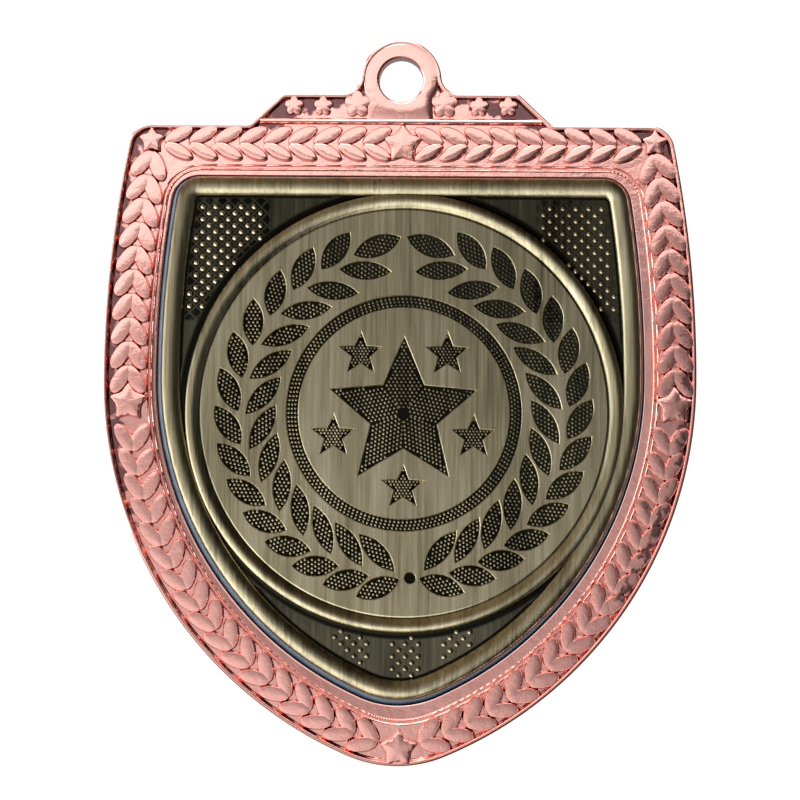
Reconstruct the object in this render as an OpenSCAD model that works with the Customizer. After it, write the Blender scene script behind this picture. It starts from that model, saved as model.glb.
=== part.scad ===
// Shield medal with a ribbon loop: a die-cast frame, a foam pad and a cast insert.
// Seen from the front: X runs to the right, Z up, and -Y points at the viewer.
// The origin is the centre of the ribbon hole, halfway through the loop.
// Each outline is drawn flat in X and Y, raised along Z, and stood up by stand().

/* [Shield] */
// Width of the shield at its widest
shield_w = 57.2; // [56.6:0.2:57.8]
// Drop from the shield's top edge to its widest level
wide_drop = 24.7; // [24.3:0.1:25.1]
// Radius of the slightly bowed upper sides
side_r = 113; // [105:1:121]
// Radius of the lower sides
lower_r = 39.2; // [38.8:0.1:39.6]
// Radius of the rounded tip
tip_r = 12; // [11:0.5:12.5]
// Radius of the two top corners
corner_r = 2.4; // [2:0.1:2.8]
// Thickness of the frame over its lip, which is also the loop's
frame_t = 3; // [2.8:0.1:3.2]
// Thickness of the frame's floor behind the pad
floor_t = 0.9; // [0.8:0.05:1]
// Depth of the shallow recess in the frame's back
recess_depth = 0.25; // [0.2:0.05:0.3]
// Width of the margin round the back recess
back_margin = 3; // [2.6:0.1:3.4]

/* [Ribbon loop] */
// Diameter of the ribbon hole
hole_d = 4.2; // [4:0.1:4.4]
// Outer radius of the loop
loop_r = 3.9; // [3.85:0.05:3.95]
// Height of the hole's centre above the shield's top edge
loop_rise = 4.25; // [4.2:0.05:4.3]
// Chamfer round both mouths of the hole
hole_chamfer = 0.25; // [0.15:0.05:0.3]
// Radius of the fillets at the loop's foot
loop_fillet_r = 1.65; // [1.5:0.05:1.8]

/* [Pediment] */
// Width of the pediment's flat top
pediment_top_w = 21.8; // [21:0.2:22.6]
// Width of the pediment at its foot
pediment_foot_w = 29; // [28.2:0.2:29.8]
// Height of the pediment above the shield's top edge
pediment_h = 3; // [2.9:0.05:3.1]
// Radii of the three blossoms on each side, from the outermost in
blossom_r = [0.9, 0.9, 1.2]; // [0.8:0.05:1.25]
// Distance of each blossom from the centre line
blossom_x = [10.3, 7.5, 4.2]; // [4.2:0.1:10.4]
// Height of each blossom's middle above the shield's top edge
blossom_rise = [1.75, 1.75, 1.95]; // [1.7:0.05:2]
// Width of the bar between the pediment and the shield
bar_w = 0.6; // [0.5:0.05:0.7]

/* [Border] */
// Height of the leaves, stars and lip above the border's field
relief_h = 0.6; // [0.5:0.05:0.7]
// Width of the lip along the frame's outer edge
lip_w = 0.34; // [0.28:0.02:0.4]
// Distance from the shield's edge to the middle of the leaf band on the sides
band_inset = 2.25; // [2.2:0.01:2.3]
// The same distance below the shield's top edge
band_drop = 1.9; // [1.86:0.01:1.94]
// Length of a leaf
leaf_l = 2.5; // [2.3:0.05:2.55]
// Width of a leaf
leaf_w = 1.14; // [1.04:0.02:1.16]
// Angle between a leaf and the band
leaf_tilt = 31; // [30:1:33]
// Distance from the middle of the band to the middle of a leaf
leaf_offset = 0.92; // [0.9:0.01:0.96]
// Distance from one pair of leaves to the next
leaf_pitch = 2.39; // [2.37:0.01:2.41]
// Pairs of leaves on each half of the top edge
top_pairs = 9; // [7:1:9]
// Pairs of leaves on each upper side
side_pairs = 10; // [8:1:10]
// Pairs of leaves on each lower side
lower_pairs = 17; // [15:1:17]
// Outer radii of the top, side and bottom stars
border_star_r = [1.84, 1.7, 1.76]; // [1.6:0.02:1.84]
// Outer radius of the corner stars
corner_star_r = 1.25; // [1.15:0.05:1.3]
// Drop of the side stars below the shield's widest level
side_star_drop = 2.2; // [2.1:0.05:2.3]
// Distance of the corner stars from the centre line
corner_star_x = 24.2; // [24.1:0.05:24.3]
// Drop of the corner stars below the shield's top edge
corner_star_drop = 1.65; // [1.6:0.05:1.7]
// Width of each of the two fine ridges inside the leaves
ridge_w = 0.16; // [0.12:0.02:0.2]
// Distance from the shield's edge to the line midway between the two ridges
ridge_inset = 4.2; // [4.1:0.05:4.3]
// Distance between the two ridges
ridge_spacing = 0.36; // [0.32:0.02:0.4]
// Radius of the line between the ridges at the top corners
ridge_corner_r = 3.5; // [3.2:0.1:3.8]
// Height of the ridges above the border's field
ridge_h = 0.3; // [0.2:0.05:0.4]

/* [Opening] */
// Width of the opening for the insert
opening_w = 47; // [46.8:0.1:47.2]
// Drop from the shield's top edge to the top of the opening
opening_drop = 5; // [4.9:0.05:5.1]
// Radius of the opening's lower sides
opening_lower_r = 33.3; // [33.1:0.1:33.5]
// Radius of the opening's rounded tip
opening_tip_r = 9; // [8:0.5:10]
// Radius of the opening's top corners
opening_corner_r = 2.7; // [2.4:0.1:3]

/* [Pad and insert] */
// Thickness of the foam pad
pad_t = 0.7; // [0.6:0.05:0.8]
// Clearance between the pad and the opening's wall
pad_gap = 0.05; // [0.04:0.01:0.08]
// Mean clearance between the insert and the opening's wall
insert_gap = 0.36; // [0.36:0.01:0.4]
// How far right of the opening's centre and above it the insert is stuck
insert_shift = [0.16, 0.24]; // [0:0.02:0.24]
// Thickness of the insert's plate
plate_t = 0.8; // [0.7:0.05:0.9]
// Width of the insert's raised edge
edge_w = 1.85; // [1.75:0.05:1.95]
// Height of the raised edge and the medallion's rim above the plate
edge_h = 0.6; // [0.55:0.05:0.65]

/* [Medallion] */
// Outer radius of the medallion
medallion_r = 21.15; // [21.1:0.01:21.2]
// Drop from the shield's top edge to the medallion's centre on a centred insert
medallion_drop = 28.05; // [28:0.05:28.1]
// Width of the medallion's rim
medallion_rim = 1.5; // [1.4:0.05:1.6]
// Height of the medallion's face above the plate
face_h = 0.35; // [0.3:0.05:0.4]
// Inner and outer radii of the sunken ring
ring_r = [10.25, 11.3]; // [10.2:0.05:11.4]
// Outer and inner radii of the sunken centre star
centre_star_r = [7.3, 3.3]; // [3.2:0.1:7.4]
// Outer and inner radii of the five small stars round it
small_star_r = [2, 0.85]; // [0.8:0.05:2.1]
// Distance of the small stars from the medallion's centre
small_star_out = 7.1; // [7:0.05:7.2]
// Radius of the small sunken dot below the ring
dot_r = 0.55; // [0.5:0.05:0.6]
// Distance of that dot to the right of the medallion's centre
dot_x = 0.55; // [0.4:0.05:0.7]
// Distance of that dot below the medallion's centre
dot_drop = 15.8; // [15.6:0.05:16]

/* [Wreath] */
// Leaves in the outer row of each half
outer_count = 15; // [12:1:15]
// Leaves in the inner row of each half
inner_count = 13; // [11:1:13]
// Angles of the first and last outer leaf's stalk end, from the horizontal
outer_span = [-88, 72.5]; // [-88:0.5:73]
// Angles of the first and last inner leaf's stalk end
inner_span = [-85.9, 66.3]; // [-86:0.1:67]
// Distances of an outer leaf's stalk end and tip from the medallion's centre
outer_reach = [16, 18.15]; // [15.9:0.05:18.2]
// Distances of an inner leaf's stalk end and tip from the medallion's centre
inner_reach = [15.25, 12.5]; // [12.4:0.05:15.3]
// Degrees by which the tip of an outer and of an inner leaf leads its stalk end
tip_lead = [12.3, 16]; // [12:0.1:16.5]
// Widths of an outer and an inner leaf
wreath_leaf_w = [1.85, 1.7]; // [1.6:0.05:1.9]

/* [Corner dots] */
// Radius of a dot
pip_r = 0.27; // [0.25:0.01:0.28]
// Spacing of the dots along a row, and from row to row
pip_pitch = [1.24, 0.6]; // [0.6:0.02:1.26]
// Height of a dot above the plate
pip_h = 0.2; // [0.15:0.05:0.25]
// Least space between a dot's middle and the walls of its pocket
pip_margin = 0.45; // [0.4:0.05:0.6]
// Where the three dotted panels of the bottom pocket start, across the medal
low_panel_start = [-6.3, -0.8, 4.2]; // [-6.5:0.1:4.5]
// Where those panels end
low_panel_end = [-2.7, 2.1, 7.4]; // [-3:0.1:7.5]
// Distance from the centre line to the inner edge of the dotted top corners
top_panel_x = 13.4; // [13:0.2:14]
// Lowest level of the dotted top corners above the medallion's centre
top_panel_low = 9.6; // [9:0.2:10.4]

/* [Hidden] */
$fn = 96;
join = 0.5; // how far pieces of one outline reach into each other
bite = 0.02; // how far an arc cuts past the arc it would only touch
through = 1; // how far a cut runs past the faces it opens
copper = "#d08c7d";
pad_blue = "#4a6f8f";
antique_brass = "#8f8763";

// Levels from the back to the front
back_z = -frame_t / 2;
crest_z = frame_t / 2;
field_z = crest_z - relief_h;
floor_z = back_z + floor_t;
pad_top_z = floor_z + pad_t;
plate_top_z = pad_top_z + plate_t;

// Levels from the tip to the loop
top_y = -loop_rise;
wide_y = top_y - wide_drop;
pediment_y = top_y + pediment_h;
medallion_y = top_y - medallion_drop;
pocket_top_y = top_y - opening_drop - insert_gap - edge_w;

// A shield is [half width, side radius, lower radius, top level, tip radius, corner radius]
outer_shield = [shield_w / 2, side_r, lower_r, top_y, tip_r, corner_r];
opening_shield = [opening_w / 2, side_r - (shield_w - opening_w) / 2, opening_lower_r,
    top_y - opening_drop, opening_tip_r, opening_corner_r];
ridge_shield = [shield_w / 2 - ridge_inset, side_r - ridge_inset, lower_r - ridge_inset,
    top_y - ridge_inset, tip_r - ridge_inset, ridge_corner_r];
least_r = 0.4;

function ring_point(r, a) = [r * cos(a), r * sin(a)];
function star_points(r_out, r_in) =
    [for (i = [0:9]) ring_point(i % 2 == 0 ? r_out : r_in, 90 + 36 * i)];
function spread(span, i, count) = span[0] + (span[1] - span[0]) * i / (count - 1);
// Half the width of a shield at a level, moved in by inset
function half_at(s, inset, y) = y > wide_y
    ? sqrt(pow(s[1] - inset, 2) - pow(y - wide_y, 2)) - (s[1] - s[0])
    : sqrt(pow(s[2] - inset, 2) - pow(y - wide_y, 2)) - (s[2] - s[0]);

// Turns the front of a flat outline from +Z to -Y
module stand() {
    rotate([90, 0, 0]) children();
}

module raised(low, high) {
    translate([0, 0, low]) linear_extrude(high - low) children();
}

module both_sides() {
    children();
    mirror([1, 0, 0]) children();
}

// Shield outline, moved in from its own edge by inset
module shield(s, inset = 0) {
    half = s[0] - inset;
    side = s[1] - inset;
    lower = s[2] - inset;
    top = s[3] - inset;
    tip = max(s[4] - inset, least_r);
    corner = max(s[5] - inset, least_r);
    side_x = side - half;
    lower_x = lower - half;
    corner_y = top - corner;
    corner_x = sqrt(pow(side - corner, 2) - pow(corner_y - wide_y, 2)) - side_x;
    corner_join = corner_y + corner * (corner_y - wide_y) / (side - corner);
    tip_y = wide_y - sqrt(pow(lower - tip, 2) - pow(lower_x, 2));
    tip_join = tip_y - tip * (wide_y - tip_y) / (lower - tip);
    intersection() {
        translate([-side_x, wide_y]) circle(side);
        translate([side_x, wide_y]) circle(side);
        translate([-half, wide_y]) square([2 * half, corner_join - wide_y]);
    }
    intersection() {
        translate([-lower_x, wide_y]) circle(lower);
        translate([lower_x, wide_y]) circle(lower);
        translate([-half, tip_join]) square([2 * half, wide_y + join - tip_join]);
    }
    translate([0, tip_y]) circle(tip);
    translate([-corner_x, wide_y]) square([2 * corner_x, top - wide_y]);
    for (x = [-corner_x, corner_x]) translate([x, corner_y]) circle(corner);
}

// Pediment and loop above the shield's top edge, moved in by inset
module crown(inset = 0) {
    slope = atan2(pediment_h, (pediment_foot_w - pediment_top_w) / 2);
    corner_cut = inset * tan(slope / 2);
    top_half = pediment_top_w / 2 - corner_cut;
    foot_half = pediment_foot_w / 2 - inset / sin(slope);
    fillet_y = pediment_y + loop_fillet_r;
    fillet_x = sqrt(pow(loop_r + loop_fillet_r, 2) - pow(fillet_y, 2));
    fillet_top = fillet_y * loop_r / (loop_r + loop_fillet_r);
    polygon([[-foot_half, top_y], [foot_half, top_y], [top_half, pediment_y - inset],
        [-top_half, pediment_y - inset]]);
    translate([-foot_half, top_y - join]) square([2 * foot_half, join]);
    circle(loop_r - inset);
    difference() {
        translate([-fillet_x, pediment_y - inset - join])
            square([2 * fillet_x, fillet_top - pediment_y + inset + join]);
        both_sides() translate([fillet_x, fillet_y]) circle(loop_fillet_r + inset + bite);
    }
}

module frame_outline(inset = 0) {
    shield(outer_shield, inset);
    crown(inset);
}

// Pointed leaf along X
module leaf(length, width) {
    r = (length * length + width * width) / (4 * width);
    intersection() {
        translate([0, r - width / 2]) circle(r);
        translate([0, width / 2 - r]) circle(r);
    }
}

// Two leaves whose tips spread apart towards the heading
module leaf_pair(place, heading) {
    translate(place) rotate(heading) {
        translate([0, leaf_offset]) rotate(leaf_tilt) leaf(leaf_l, leaf_w);
        translate([0, -leaf_offset]) rotate(-leaf_tilt) leaf(leaf_l, leaf_w);
    }
}

// The 5 petals of a blossom overlap at its middle
module blossom(r) {
    petal_r = r * 0.42;
    circle(r * 0.6);
    for (i = [0:4]) translate(ring_point(r - petal_r, 90 + 72 * i)) circle(petal_r);
}

module border_star(r) {
    polygon(star_points(r, r / 2));
}

module top_leaves() {
    for (i = [1:top_pairs])
        leaf_pair([i * leaf_pitch + 0.1, top_y - band_drop], 180);
}

module side_leaves() {
    band_r = side_r - band_inset;
    last = asin((wide_drop - 4) / band_r);
    for (i = [0:side_pairs - 1]) {
        a = last * (1 - i / (side_pairs - 1));
        place = ring_point(band_r, a) + [shield_w / 2 - side_r, wide_y];
        leaf_pair(place, a - 90);
    }
}

module lower_leaves() {
    band_r = lower_r - band_inset;
    step = leaf_pitch / band_r * 180 / PI;
    star_a = asin(side_star_drop / band_r);
    tip_a = acos((lower_r - shield_w / 2) / band_r);
    first = (star_a + tip_a - step * (lower_pairs - 1)) / 2;
    for (i = [0:lower_pairs - 1]) {
        a = -(first + step * i);
        place = ring_point(band_r, a) + [shield_w / 2 - lower_r, wide_y];
        leaf_pair(place, a + 90);
    }
}

module border_stars() {
    band_r = lower_r - band_inset;
    side_a = -asin(side_star_drop / band_r);
    side_place = ring_point(band_r, side_a) + [shield_w / 2 - lower_r, wide_y];
    low_y = wide_y - sqrt(pow(band_r, 2) - pow(lower_r - shield_w / 2, 2));
    translate([0, top_y - band_drop]) border_star(border_star_r[0]);
    translate([0, low_y]) border_star(border_star_r[2]);
    both_sides() {
        translate(side_place) border_star(border_star_r[1]);
        translate([corner_star_x, top_y - corner_star_drop]) border_star(corner_star_r);
    }
}

// Wall round the frame's edge, the bar under the pediment and the loop's face
module lip() {
    difference() {
        frame_outline();
        frame_outline(lip_w);
    }
    intersection() {
        crown();
        translate([-pediment_foot_w / 2, top_y]) square([pediment_foot_w, bar_w]);
    }
    circle(loop_r);
}

module ridge(inset) {
    difference() {
        shield(ridge_shield, inset - ridge_w / 2);
        shield(ridge_shield, inset + ridge_w / 2);
    }
}

module ribbon_hole() {
    hole_r = hole_d / 2;
    mouth_r = hole_r + hole_chamfer;
    translate([0, 0, back_z - through]) cylinder(r = hole_r, h = frame_t + 2 * through);
    translate([0, 0, crest_z - hole_chamfer])
        cylinder(r1 = hole_r, r2 = mouth_r, h = hole_chamfer);
    translate([0, 0, back_z]) cylinder(r1 = mouth_r, r2 = hole_r, h = hole_chamfer);
}

module frame() {
    color(copper) stand() difference() {
        union() {
            raised(back_z, field_z) frame_outline();
            raised(field_z, crest_z) lip();
            raised(field_z, crest_z) {
                border_stars();
                both_sides() {
                    top_leaves();
                    side_leaves();
                    lower_leaves();
                }
            }
            raised(field_z, crest_z) both_sides() for (i = [0:2])
                translate([blossom_x[i], top_y + blossom_rise[i]]) blossom(blossom_r[i]);
            raised(field_z, field_z + ridge_h) for (side = [-1, 1])
                ridge(side * ridge_spacing / 2);
        }
        raised(floor_z, crest_z + through) shield(opening_shield);
        raised(back_z - through, back_z + recess_depth) shield(outer_shield, back_margin);
        ribbon_hole();
    }
}

module adhesive_pad() {
    color(pad_blue) stand() raised(floor_z, pad_top_z) shield(opening_shield, pad_gap);
}

// One half of the wreath's leaf in a row: its stalk end and tip are polar points
module wreath_leaf(base, tip, width) {
    run = tip - base;
    translate((base + tip) / 2) rotate(atan2(run.y, run.x)) leaf(norm(run), width);
}

module wreath_half() {
    for (i = [0:outer_count - 1]) {
        a = spread(outer_span, i, outer_count);
        wreath_leaf(ring_point(outer_reach[0], a), ring_point(outer_reach[1], a + tip_lead[0]),
            wreath_leaf_w[0]);
    }
    for (i = [0:inner_count - 1]) {
        a = spread(inner_span, i, inner_count);
        wreath_leaf(ring_point(inner_reach[0], a), ring_point(inner_reach[1], a + tip_lead[1]),
            wreath_leaf_w[1]);
    }
}

// Everything that is sunk into the medallion's face
module sunken() {
    both_sides() wreath_half();
    difference() {
        circle(ring_r[1]);
        circle(ring_r[0]);
    }
    polygon(star_points(centre_star_r[0], centre_star_r[1]));
    for (i = [0:4]) translate(ring_point(small_star_out, -90 + 72 * i))
        polygon(star_points(small_star_r[0], small_star_r[1]));
    translate([dot_x, -dot_drop]) circle(dot_r);
}

// Whether a dot fits its pocket and one of the panels
function in_panel(x, y) =
    y > medallion_y
        ? abs(x) > top_panel_x && y > medallion_y + top_panel_low
        : len([for (i = [0:2]) if (x > low_panel_start[i] && x < low_panel_end[i]) i]) > 0;
function in_pocket(x, y) =
    norm([x, y - medallion_y]) > medallion_r + pip_margin
    && y < pocket_top_y - pip_margin
    && abs(x) < half_at(opening_shield, insert_gap + edge_w + pip_margin, y);

module pips() {
    columns = ceil(opening_w / pip_pitch.x / 2);
    rows = ceil(opening_w * 0.6 / pip_pitch.y);
    for (row = [-rows:rows], column = [-columns:columns]) {
        x = (column + (row % 2 == 0 ? 0 : 0.5)) * pip_pitch.x;
        y = medallion_y + row * pip_pitch.y;
        if (in_panel(x, y) && in_pocket(x, y)) translate([x, y]) circle(pip_r, $fn = 24);
    }
}

module insert() {
    color(antique_brass) stand() translate([insert_shift.x, insert_shift.y, 0]) {
        raised(pad_top_z, plate_top_z) shield(opening_shield, insert_gap);
        raised(plate_top_z, plate_top_z + edge_h) {
            difference() {
                shield(opening_shield, insert_gap);
                shield(opening_shield, insert_gap + edge_w);
            }
            translate([0, medallion_y]) difference() {
                circle(medallion_r);
                circle(medallion_r - medallion_rim);
            }
        }
        raised(plate_top_z, plate_top_z + face_h) translate([0, medallion_y]) difference() {
            circle(medallion_r - medallion_rim / 2);
            sunken();
        }
        raised(plate_top_z, plate_top_z + pip_h) pips();
    }
}

frame();
adhesive_pad();
insert();
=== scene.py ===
from math import acos, asin, atan2, ceil, cos, hypot, pi, radians, sin, sqrt, tan

import bmesh
import bpy
from mathutils import Matrix, Vector


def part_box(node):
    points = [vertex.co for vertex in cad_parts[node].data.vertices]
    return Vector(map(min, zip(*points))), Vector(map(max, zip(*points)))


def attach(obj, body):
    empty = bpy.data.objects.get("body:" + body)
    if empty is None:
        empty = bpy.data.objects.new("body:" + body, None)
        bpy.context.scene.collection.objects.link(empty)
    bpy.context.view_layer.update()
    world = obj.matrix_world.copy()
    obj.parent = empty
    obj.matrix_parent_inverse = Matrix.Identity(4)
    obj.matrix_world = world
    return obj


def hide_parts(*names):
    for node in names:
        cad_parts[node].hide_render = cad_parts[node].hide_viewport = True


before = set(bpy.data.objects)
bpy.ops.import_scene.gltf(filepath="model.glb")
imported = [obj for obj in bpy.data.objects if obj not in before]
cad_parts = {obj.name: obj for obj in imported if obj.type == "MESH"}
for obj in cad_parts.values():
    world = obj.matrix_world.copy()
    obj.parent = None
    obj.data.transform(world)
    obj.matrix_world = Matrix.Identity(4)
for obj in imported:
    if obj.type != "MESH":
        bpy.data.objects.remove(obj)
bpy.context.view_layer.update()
print("frame loaded:", ", ".join(sorted(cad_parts)))

# Everything below is drawn lying flat in millimetres: x to the right, y up and z towards
# the viewer. standUp turns it upright and into metres, where the CAD holds it.
metre = 1000
standUp = Matrix.Scale(1 / metre, 4) @ Matrix.Rotation(radians(90), 4, "X")
frameLow, frameHigh = (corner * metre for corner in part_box("frame"))
padLow, padHigh = (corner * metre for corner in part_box("adhesive_pad"))
backZ = -frameHigh.y
crestZ = -frameLow.y
trayZ = -padHigh.y
padTopZ = -padLow.y
fieldZ = crestZ - 0.6
plateZ = padTopZ + 0.8

# The medal's main outlines. Angles in degrees, lengths in millimetres.
medal = {
    "topY": -4.25,  # shield's top edge, below the ribbon hole's centre
    "wideY": -28.95,  # shield's widest level
    "outer": {"half": frameHigh.x, "side": 113, "lower": 39.2, "drop": 0, "tip": 12, "corner": 2.4},
    "opening": {"half": 23.5, "side": 107.9, "lower": 33.3, "drop": 5, "tip": 9, "corner": 2.7},
    "recess": {"half": 25.6, "side": 110, "lower": 36.2, "drop": 3, "tip": 9, "corner": 1},
    "ridges": {"half": 24.4, "side": 108.8, "lower": 35, "drop": 4.2, "tip": 7.8, "corner": 3.5},
    "loopR": frameHigh.z,
    "holeR": 2.1,
    "loopFilletR": 1.65,
    "pedimentH": 3,
    "pedimentTopHalf": 11.3,
    "pedimentFootHalf": 14.5,
    "pedimentCornerR": 1.1,
    "pedimentFootR": 0.9,
    "insertGap": 0.36,
    "insertShift": (0.2, 0.26),  # the insert is stuck a little off the opening's centre
    "discY": -32.3,  # medallion's centre before that shift
    "discR": 21.15,
}


# Outlines: chains of arcs (x, y, radius, first angle, last angle, steps), right half only.
# A hollow arc has a negative radius. A ring is the whole closed outline, clockwise.
def shieldArcs(shape):
    top = medal["topY"] - shape["drop"]
    sideX = shape["side"] - shape["half"]
    lowerX = shape["lower"] - shape["half"]
    cornerY = top - shape["corner"]
    rise = cornerY - medal["wideY"]
    run = sqrt((shape["side"] - shape["corner"]) ** 2 - rise**2)
    fall = sqrt((shape["lower"] - shape["tip"]) ** 2 - lowerX**2)
    turn = atan2(rise, run) * 180 / pi
    last = -atan2(fall, lowerX) * 180 / pi
    return [
        (run - sideX, cornerY, shape["corner"], 90, turn, 12),
        (-sideX, medal["wideY"], shape["side"], turn, 0, 30),
        (-lowerX, medal["wideY"], shape["lower"], 0, last, 56),
        (0, medal["wideY"] - fall, shape["tip"], last, -90, 12),
    ]


def crownArcs():
    footY = medal["topY"]
    headY = footY + medal["pedimentH"]
    filletR = medal["loopFilletR"]
    filletY = headY + filletR
    filletX = sqrt((medal["loopR"] + filletR) ** 2 - filletY**2)
    meet = atan2(filletY, filletX) * 180 / pi
    run = medal["pedimentFootHalf"] - medal["pedimentTopHalf"]
    slope = atan2(medal["pedimentH"], run) * 180 / pi
    cut = tan(radians(slope / 2))
    cornerR = medal["pedimentCornerR"]
    footR = medal["pedimentFootR"]
    return [
        (0, 0, medal["loopR"], 90, meet, 28),
        (filletX, filletY, -filletR, 180 + meet, 270, 12),
        (medal["pedimentTopHalf"] - cornerR * cut, headY - cornerR, cornerR, 90, 90 - slope, 8),
        (medal["pedimentFootHalf"] + footR * cut, footY + footR, -footR, 270 - slope, 270, 8),
    ]


def ring(arcs, inset=0, shift=(0, 0)):
    right = []
    for x, y, radius, first, last, steps in arcs:
        reach = abs(radius - inset)
        for step in range(steps + 1):
            angle = radians(first + (last - first) * step / steps)
            point = (x + reach * cos(angle), y + reach * sin(angle))
            if not right or hypot(point[0] - right[-1][0], point[1] - right[-1][1]) > 1e-5:
                right.append(point)
    left = [(-x, y) for x, y in reversed(right) if x > 1e-5]
    return [(x + shift[0], y + shift[1]) for x, y in right + left]


def clockwise(steps):
    return [-2 * pi * step / steps for step in range(steps)]


def circle(radius, steps, centre=(0, 0)):
    return [(centre[0] + radius * cos(a), centre[1] + radius * sin(a)) for a in clockwise(steps)]


def grown(points, distance):
    # every side of a closed clockwise outline moves out by distance, with its corners kept
    result = []
    for before, here, after in zip(points[-1:] + points[:-1], points, points[1:] + points[:1]):
        arriving = Vector((here[0] - before[0], here[1] - before[1])).normalized()
        leaving = Vector((after[0] - here[0], after[1] - here[1])).normalized()
        first = Vector((-arriving.y, arriving.x))
        second = Vector((-leaving.y, leaving.x))
        move = (first + second) * (distance / (1 + first.dot(second)))
        result.append((here[0] + move.x, here[1] + move.y))
    return result


# mesh helpers
def drawLoop(bm, points, z):
    verts = [bm.verts.new((x, y, z)) for x, y in points]
    for index, vert in enumerate(verts):
        bm.edges.new((verts[index - 1], vert))
    return verts


def loopEdges(bm, verts):
    return [bm.edges.get((verts[index - 1], vert)) for index, vert in enumerate(verts)]


def growLoop(bm, verts, points, z):
    made = bmesh.ops.extrude_edge_only(bm, edges=loopEdges(bm, verts))["geom"]
    fresh = set(newVerts(made))
    following = []
    for vert in verts:
        following += [e.other_vert(vert) for e in vert.link_edges if e.other_vert(vert) in fresh]
    levels = z if isinstance(z, list) else [z] * len(points)
    for vert, (x, y), level in zip(following, points, levels):
        vert.co = (x, y, level)
    for face in newFaces(made):
        face.smooth = True
    return following


def sweep(bm, outline, profile):
    # carries outline(inset) through the (inset, level) steps; gives the first and last loops
    start = drawLoop(bm, outline(profile[0][0]), profile[0][1])
    loop = start
    for inset, z in profile[1:]:
        loop = growLoop(bm, loop, outline(inset), z)
    return start, loop


def fillFlat(bm, *loops):
    edges = [edge for loop in loops for edge in loopEdges(bm, loop)]
    bmesh.ops.triangle_fill(bm, use_beauty=True, edges=edges, normal=(0, 0, 1))


def joinLoops(bm, first, second):
    bmesh.ops.bridge_loops(bm, edges=loopEdges(bm, first) + loopEdges(bm, second))


def newVerts(made):
    return [item for item in made if isinstance(item, bmesh.types.BMVert)]


def newFaces(made):
    return [item for item in made if isinstance(item, bmesh.types.BMFace)]


def quarters(steps, first=0):
    # the angles of a quarter turn
    return [pi / 2 * step / steps for step in range(first, steps + 1)]


def asMesh(bm, name):
    bmesh.ops.recalc_face_normals(bm, faces=bm.faces)
    mesh = bpy.data.meshes.new(name)
    bm.to_mesh(mesh)
    bm.free()
    return mesh


def stamp(bm, mesh, places):
    # adds a copy of a small mesh at each place
    patch = bmesh.new()
    count = len(mesh.vertices)
    for place in places:
        patch.from_mesh(mesh)
        patch.verts.ensure_lookup_table()
        bmesh.ops.transform(patch, matrix=place, verts=patch.verts[-count:])
    joined = bpy.data.meshes.new("patch")
    patch.to_mesh(joined)
    patch.free()
    bm.from_mesh(joined)
    bpy.data.meshes.remove(joined)


def placed(x, y, z=0, angle=0, mirrored=False):
    flip = Matrix.Diagonal((-1 if mirrored else 1, 1, 1, 1))
    return flip @ Matrix.Translation((x, y, z)) @ Matrix.Rotation(radians(angle), 4, "Z")


def newObject(name, data):
    item = bpy.data.objects.new(name, data)
    bpy.context.scene.collection.objects.link(item)
    return item


def finishPiece(name, bm, material, node, sharpAngle):
    bmesh.ops.recalc_face_normals(bm, faces=bm.faces)
    bmesh.ops.transform(bm, matrix=standUp, verts=bm.verts)
    mesh = asMesh(bm, name)
    mesh.set_sharp_from_angle(angle=radians(sharpAngle))
    for face in mesh.polygons:  # dead flat areas keep a flat reflection right up to their edges
        face.use_smooth = abs(face.normal.y) < 0.999998
    mesh.materials.append(material)
    piece = newObject(name, mesh)
    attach(piece, "root")
    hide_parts(node)
    print(name, "made:", len(mesh.polygons), "faces")
    return piece


# shader helpers
def operator(operation, swapped=False):
    def apply(self, other):
        values = (other, self) if swapped else (self, other)
        return self.maths(operation, *values)
    return apply


class Signal:
    # a socket that Python arithmetic turns into Math nodes
    def __init__(self, finish, socket):
        self.finish = finish
        self.socket = socket

    def maths(self, operation, *values):
        inputs = dict(enumerate(values))
        return self.finish.node("ShaderNodeMath", {"operation": operation}, inputs)

    __add__ = operator("ADD")
    __radd__ = operator("ADD", True)
    __sub__ = operator("SUBTRACT")
    __rsub__ = operator("SUBTRACT", True)
    __mul__ = operator("MULTIPLY")
    __rmul__ = operator("MULTIPLY", True)

    def between(self, low, high):
        # 0 below low, 1 above high, smooth in between
        settings = {"interpolation_type": "SMOOTHSTEP"}
        inputs = {"Value": self, "From Min": low, "From Max": high}
        return self.finish.node("ShaderNodeMapRange", settings, inputs)


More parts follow.
